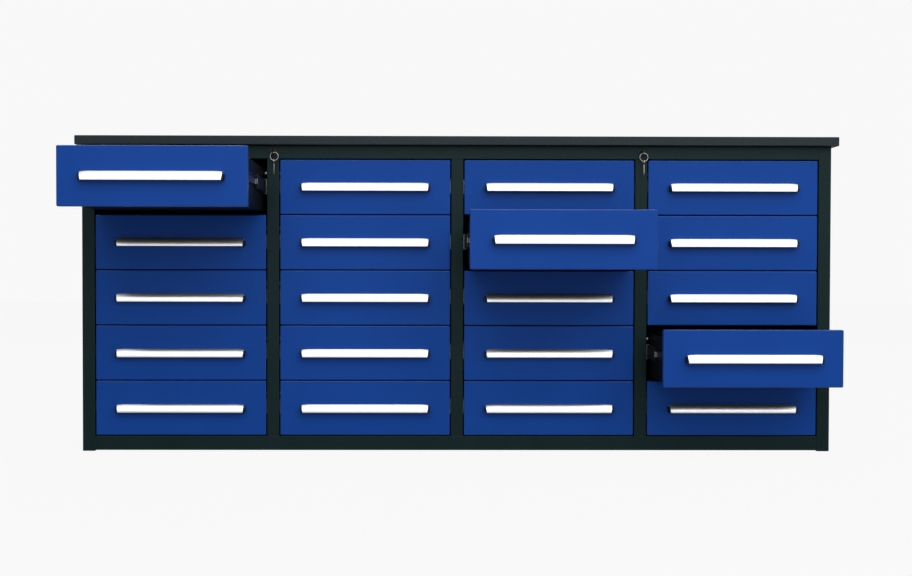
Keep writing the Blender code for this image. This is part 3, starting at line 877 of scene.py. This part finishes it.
def linerMesh():
    look = linerLook
    clear = boxLook["sheet"] + look["inset"]
    half = boxLook["width"] / 2 - clear
    near, far = boxLook["front"] + clear, boxLook["back"] - clear
    bottom = boxLook["bottom"] + boxLook["sheet"] + play
    low = bottom + look["base"]
    count = int((far - near) / look["rib"])
    pitch = (far - near) / count
    outline = [(near, bottom)]
    for index in range(count):
        start = near + index * pitch
        foot, rise, fall = (start + pitch * share for share in look["ribShares"])
        outline += [(start, low), (foot, low), (rise, low + look["height"]), (fall, low + look["height"])]
    outline += [(far, low), (far, bottom)]
    shape = bmesh.new()
    extrude(shape, outline, "X", -half, half)
    return meshFrom(shape, "liner")


catchLook = {
    "plate": ((38 * mm, 36 * mm), (56 * mm, 56 * mm), 1.5 * mm),
    "tongue": ((38 * mm, 44 * mm), (42 * mm, 56 * mm), 4.0 * mm),
}


def catchMesh():
    shape = bmesh.new()
    for side in (-1, 1):
        wall = side * (boxLook["width"] / 2 + play / 3)
        for low, high, out in catchLook.values():
            reach = sorted((wall, wall + side * out))
            roundBlock(shape, (reach[0], *low), (reach[1], *high))
    return meshFrom(shape, "catches")


def handleCurve(radius, start, end, count=9):
    look = handleLook
    low = math.radians(look["turn"][0])
    out = look["reach"] - look["radius"] * math.cos(low)
    up = look["bottom"] - look["radius"] * math.sin(low)
    turns = [start + (end - start) * step / count for step in range(count + 1)]
    return [(out + radius * math.cos(turn), up + radius * math.sin(turn)) for turn in turns]


def handleSection():
    look = handleLook
    wall, bottom, reach = look["wall"], look["bottom"], look["reach"]
    low, high = (math.radians(turn) for turn in look["turn"])
    front = handleCurve(look["radius"], high, low)
    top = front[0][1]
    inside = handleCurve(look["radius"] - wall, low + 0.1, high - 0.03)
    lipEnd, face = reach - look["lip"], play + wall
    flangeEnd, floor = look["flangeEnd"], bottom + wall
    outline = [(play, top), *front, (lipEnd, bottom), (lipEnd, floor), (inside[0][0], floor), *inside]
    outline += [(inside[-1][0] - 1 * mm, top - wall), (face, top - wall), (face, flangeEnd), (play, flangeEnd)]
    return [(-out, up) for out, up in outline]


def handleMesh():
    look = handleLook
    shape = bmesh.new()
    outline = softenCorners(handleSection(), 0.9 * mm, 3)
    # the strip's top falls a little at its ends
    low = [(out, up * look["endHeight"] if up > 0 else up) for out, up in outline]
    rings = []
    for side, steps in ((-1, (0, 0.35, 1)), (1, (1, 0.35, 0))):
        for step in steps:
            along, lean = look["half"] - step * look["endRun"], look["slant"] * (1 - step)
            share = 1 - (1 - step) ** 2
            section = [Vector(a).lerp(Vector(b), share) for a, b in zip(low, outline)]
            rings.append([(side * (along + lean * point.y), *point) for point in section])
    loft(shape, rings)
    return meshFrom(shape, "handle")


def capMesh():
    look = handleLook
    low, high = math.radians(look["turn"][0]), math.radians(look["capTurn"])
    front = handleCurve(look["radius"] + look["capGrow"], high, low)
    outline = [(-play, front[0][1]), *((-out, up) for out, up in front)]
    outline.append((-play, look["bottom"] - look["capGrow"]))
    shape = bmesh.new()
    soft = softenCorners(outline, 2.5 * mm, 4)
    middle, end, lean = Vector((-10 * mm, 0)), look["capEnd"], look["capSlant"]
    steps = [(look["half"] + play, look["slant"], 1.0), (end - 1.8 * mm, lean, 1.0)]
    steps += [(end - 0.6 * mm, lean, 0.955), (end, lean, 0.87)]
    for side in (-1, 1):
        rings = []
        for along, slant, scale in steps:
            points = [middle + (Vector(point) - middle) * scale for point in soft]
            rings.append([(side * (along + slant * p.y), min(p.x, -play), p.y) for p in points])
        loft(shape, rings)
    return meshFrom(shape, "caps")


def buildDrawers():
    parts = {
        "front": (frontMesh(), bluePaint, "drawer_paint"),
        "box": (boxMesh(), boxPaint, "drawer_paint"),
        "liner": (linerMesh(), ribbedRubber, "drawer_paint"),
        "inner_slides": (innerSlideMesh(), greasedSteel, "zinc"),
        "catches": (catchMesh(), zincPlate, "zinc"),
        "handle_strip": (handleMesh(), satinAluminium, "handle_aluminium"),
        "handle_caps": (capMesh(), blackPlastic, "handle_aluminium"),
    }
    middles = {
        "middle_slides": (middleSlideMesh(), greasedSteel),
        "slide_stops": (slideStopMesh(), zincPlate),
    }
    for column in columns:
        for row in rows:
            tag, place = f"c{column}r{row}", drawerPlace(column, row)
            body = f"drawer_{tag}_body"
            for name, (mesh, material, slot) in parts.items():
                stands = {"front": (f"drawer_{tag}",), "handle_strip": (f"handle_{tag}",)}.get(name, ())
                addPiece(f"{name}_{tag}", mesh.copy(), material, body, stands, place)
            half = Vector((place.x, (place.y + closedY) / 2, place.z))
            for name, (mesh, material) in middles.items():
                middle = showMesh(f"{name}_{tag}", mesh.copy(), material, half)
                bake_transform(middle)


buildOuterSlides()
buildDrawers()
print("drawers built")

# locks

lockLook = {
    "rim": 12 * mm, "rimDepth": 2.5 * mm, "barrel": 9.5 * mm, "bore": 6.4 * mm, "length": 22 * mm,
    "plug": 6 * mm, "plugFace": 3.5 * mm, "plugEnd": 23.5 * mm, "blade": 3.8 * mm,
    "camWidth": (-15 * mm, 5 * mm), "camDepth": (22.5 * mm, 24.5 * mm), "camHalf": 4 * mm,
    "pinPlace": -12 * mm, "pin": ((2 * mm, 24.3 * mm), (2 * mm, 29.2 * mm), (1.7 * mm, 29.5 * mm)),
    "bow": 10.5 * mm, "eye": 5.4 * mm, "bowCentre": 15 * mm, "keyThickness": 2.0 * mm,
    "ring": 12.2 * mm, "wire": 1.35 * mm, "ringAside": 5 * mm, "ringTop": 2.5 * mm,
    "spareBow": 8.5 * mm, "spareEye": 3.8 * mm,
    # the spare key's blade, in millimetres
    "spareLength": 36,
    "spareTeeth": (
        (3.6, 6), (3.6, 9), (2.2, 11), (3.6, 13), (3.6, 15), (1.6, 17), (3.4, 19.5), (2.4, 22), (3.4, 25),
    ),
}


def washer(shape, centre, outer, inner, start, end, axis, count=32):
    soft = min(0.25 * (end - start), 0.4 * mm)
    profile = [
        (inner, start + soft), (inner + soft, start), (outer - soft, start), (outer, start + soft),
        (outer, end - soft), (outer - soft, end), (inner + soft, end), (inner, end - soft),
    ]
    loft(shape, [ringPoints(centre, radius, count, axis, along) for radius, along in profile], closed=True)


def buildLocks():
    look = lockLook
    for number, axis in lockPlaces.items():
        shape = bmesh.new()
        rim, bore, barrel, proud = (look[size] for size in ("rim", "bore", "barrel", "rimDepth"))
        profile = [
            (bore, -1.9 * mm), (bore + 0.5 * mm, -proud), (rim - 1.1 * mm, -proud), (rim - 0.3 * mm, -2.1 * mm),
            (rim, -1.4 * mm), (rim, -play), (barrel, -play), (barrel, look["length"]), (bore, look["length"]),
        ]
        rings = [ringPoints((axis.x, axis.z), radius, 36, "Y", axis.y + along) for radius, along in profile]
        loft(shape, rings, closed=True)
        mesh, name = meshFrom(shape, "barrel"), f"lock_barrel_{number}"
        addPiece(f"{name}_turned", mesh, darkNickel, "cabinet", (name,))
        buildKey(number, axis)
        buildSpare(number, axis)
        keepNode(f"lock_bar_{number}", zincPlate, 0.4 * mm)


def buildKey(number, axis):
    look = lockLook
    shape = bmesh.new()
    plug, face, end = look["plug"], axis.y - look["plugFace"], axis.y + look["plugEnd"]
    profile = [(0, face), (plug - 0.7 * mm, face), (plug, face + 0.6 * mm), (plug, end), (0, end)]
    turned(shape, profile, (axis.x, axis.z), "Y", 32)
    half, blade = look["keyThickness"] / 2, look["blade"]
    bowY = axis.y - look["bowCentre"]
    near = axis + Vector((-half * 0.9, 8.6 * mm - look["bowCentre"], -blade))
    far = axis + Vector((half * 0.9, 1 * mm - look["plugFace"], blade))
    roundBlock(shape, near, far)
    sides = zip(look["camWidth"], look["camDepth"], (-look["camHalf"], look["camHalf"]))
    near, far = (axis + Vector(corner) for corner in sides)
    roundBlock(shape, near, far)
    pin = [(radius, axis.y + along) for radius, along in look["pin"]]
    turned(shape, pin, (axis.x + look["pinPlace"], axis.z), "Y", 14)
    name = f"lock_key_{number}"
    addPiece(f"{name}_cut", meshFrom(shape, "key"), darkNickel, f"{name}_body", (name,))
    head = bmesh.new()
    washer(head, (bowY, axis.z), look["bow"], look["eye"], axis.x - half, axis.x + half, "X")
    addPiece(f"{name}_head", meshFrom(head, "head"), blackPlastic, f"{name}_body")


def buildSpare(number, axis):
    look = lockLook
    aside, ring, wire = look["ringAside"], look["ring"], look["wire"]
    drop = look["ringTop"] + ring
    centre = Vector((axis.x + aside, axis.y - look["bowCentre"], axis.z - drop))
    shape = bmesh.new()
    torus(shape, centre, ring, wire)
    addPiece(f"key_ring_{number}", meshFrom(shape, "ring"), nickelPlate, "cabinet")
    spare = bmesh.new()
    bow, eye, half = look["spareBow"], look["spareEye"], look["keyThickness"] / 2
    bowZ = centre.z - ring - (eye - wire - 0.15 * mm)
    washer(spare, (centre.y, bowZ), bow, eye, centre.x - half, centre.x + half, "X")
    bottom = bowZ - bow
    outline = [(-3.6, 2.6), (-3.6, -24), (-0.6, 5 - look["spareLength"])]  # the blade's plain edge and its tip
    outline += [(out, 4 - down) for out, down in reversed(look["spareTeeth"])]
    outline = [(centre.y + out * mm, bottom + up * mm) for out, up in outline]
    extrude(spare, outline, "X", centre.x - half * 0.8, centre.x + half * 0.8)
    addPiece(f"spare_key_{number}", meshFrom(spare, "spare"), nickelPlate, "cabinet")


buildLocks()
print("locks built")

# floor, light and camera

studioLook = {
    "background": 0.94, "floorGlow": 0.925, "floorBounce": 0.34, "roomLight": 0.20, "floorSize": 40.0,
}
lowLight = {"place": (1.0, -4.9, 1.1), "size": (7.0, 2.0), "power": 62.0, "aim": (1.0, 0.0, 1.1)}
highLight = {"place": (1.0, -4.6, 3.6), "size": (7.0, 3.6), "power": 205.0, "aim": (1.0, 0.0, 0.5)}
backLight = {"place": (0.0, 5.0, 4.4), "size": (7.0, 2.0), "power": 170.0, "aim": (0.0, 0.3, 0.5)}
topLight = {"place": (1.0, -2.2, 5.0), "size": (7.0, 2.4), "power": 62.0, "aim": (1.0, 0.0, 0.5)}
cameraLook = {
    "place": (-0.138, -4.300, 0.541), "yaw": 0.497, "pitch": -1.247, "roll": 0.1,
    "lens": 52.04, "shiftX": 0.0361, "shiftY": 0.0153,
}


def whiteForCamera(tree, plain, shader):
    path = addNode(tree, "ShaderNodeLightPath").outputs["Is Camera Ray"]
    mix = addNode(tree, "ShaderNodeMixShader")
    feed(tree, mix.inputs[0], path)
    tree.links.new(plain.outputs[0], mix.inputs[1])
    tree.links.new(shader.outputs[0], mix.inputs[2])
    return mix.outputs[0]


def buildStudio():
    look = studioLook
    world = bpy.data.worlds.new("studio")
    bpy.context.scene.world = world
    world.use_nodes = True
    tree = world.node_tree
    tree.nodes.clear()
    dim = addNode(tree, "ShaderNodeBackground", {"Color": (1, 1, 1, 1), "Strength": look["roomLight"]})
    bright = addNode(tree, "ShaderNodeBackground", {"Color": (1, 1, 1, 1), "Strength": look["background"]})
    out = addNode(tree, "ShaderNodeOutputWorld")
    tree.links.new(whiteForCamera(tree, dim, bright), out.inputs[0])

    shape = bmesh.new()
    half = look["floorSize"] / 2
    outline = roundRectangle((-half, -half), (half, half), 1.0, 8)
    loft(shape, [[(a, b, level) for a, b in outline] for level in (-0.02, -0.0002)])
    floor = bpy.data.objects.new("floor", meshFrom(shape, "floor"))
    bpy.context.scene.collection.objects.link(floor)
    material = bpy.data.materials.new("pale floor")
    material.use_nodes = True
    tree = material.node_tree
    tree.nodes.clear()
    bounce = addNode(tree, "ShaderNodeEmission", {"Color": (1, 1, 1, 1), "Strength": look["floorBounce"]})
    shadow = addNode(tree, "ShaderNodeBsdfDiffuse", {"Color": (0.02, 0.02, 0.02, 1)})
    glow = addNode(tree, "ShaderNodeEmission", {"Color": (1, 1, 1, 1), "Strength": look["floorGlow"]})
    seen = addNode(tree, "ShaderNodeAddShader")
    tree.links.new(shadow.outputs[0], seen.inputs[0])
    tree.links.new(glow.outputs[0], seen.inputs[1])
    out = addNode(tree, "ShaderNodeOutputMaterial")
    tree.links.new(whiteForCamera(tree, bounce, seen), out.inputs[0])
    floor.data.materials.append(material)


def addLight(name, look):
    data = bpy.data.lights.new(name, "AREA")
    data.shape, data.energy = "RECTANGLE", look["power"]
    data.size, data.size_y = look["size"]
    light = bpy.data.objects.new(name, data)
    light.location = look["place"]
    aim = Vector(look["aim"]) - Vector(look["place"])
    light.rotation_euler = aim.to_track_quat("-Z", "Y").to_euler()
    bpy.context.scene.collection.objects.link(light)


def addCamera():
    look = cameraLook
    data = bpy.data.cameras.new("camera")
    data.sensor_width, data.lens = 36.0, look["lens"]
    data.shift_x, data.shift_y = look["shiftX"], look["shiftY"]
    camera = bpy.data.objects.new("camera", data)
    camera.location = look["place"]
    turn = Matrix.Identity(4)
    for angle, axis in ((-look["yaw"], "Z"), (90 + look["pitch"], "X"), (look["roll"], "Z")):
        turn = turn @ Matrix.Rotation(math.radians(angle), 4, axis)
    camera.rotation_euler = turn.to_euler()
    bpy.context.scene.collection.objects.link(camera)
    bpy.context.scene.camera = camera


buildStudio()
addLight("low light", lowLight)
addLight("high light", highLight)
addLight("top light", topLight)
addLight("back light", backLight)
addCamera()
bpy.context.scene.view_settings.view_transform = "Standard"
print("studio ready")
